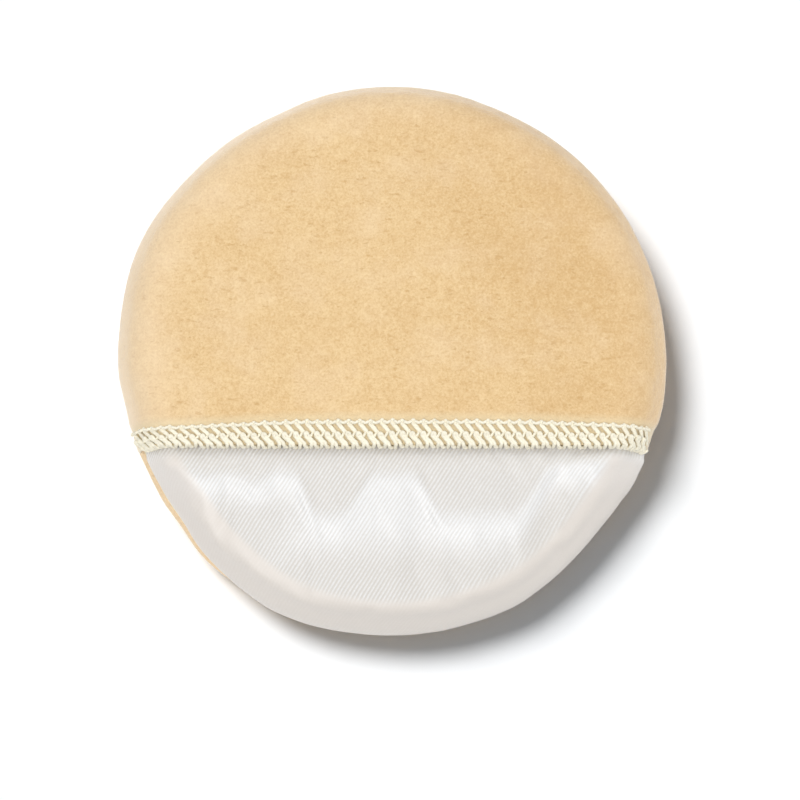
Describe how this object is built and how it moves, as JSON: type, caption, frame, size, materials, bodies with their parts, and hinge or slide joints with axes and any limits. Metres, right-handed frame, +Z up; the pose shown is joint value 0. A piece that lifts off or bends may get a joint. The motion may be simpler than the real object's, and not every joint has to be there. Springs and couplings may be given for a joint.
{
  "type": "powder puff",
  "caption": "Round velour powder puff with a foam core, a satin-covered back and a finger pocket whose straight mouth is overlocked.",
  "frame": {"origin": "on the table under the pad's axis, in the middle of the powdering face", "axes": "+Z up from the powdering face to the pocket, +X to the right of the picture, -Y out of the pocket mouth"},
  "size_m": [0.1, 0.1007, 0.0209],
  "materials": {
    "velour": "matte",
    "satin": "satin",
    "thread": "satin",
    "foam": "matte"
  },
  "bodies": {
    "puff_body": {"front_velour_cover": "velour", "foam_pad": "foam", "satin_back_cover": "satin", "rim_seam_thread": "thread"},
    "pocket_panel": {"velour_pocket_panel": "velour", "mouth_needle_thread": "thread", "mouth_upper_looper_thread": "thread", "mouth_lower_looper_thread": "thread"}
  },
  "joints": [
    {"name": "pocket_mouth_lift", "type": "hinge", "parent": "puff_body", "child": "pocket_panel", "pos_m": [0, 0.05175, 0.0092], "axis": [-1, 0, 0], "range_deg": [0, 14]}
  ]
}
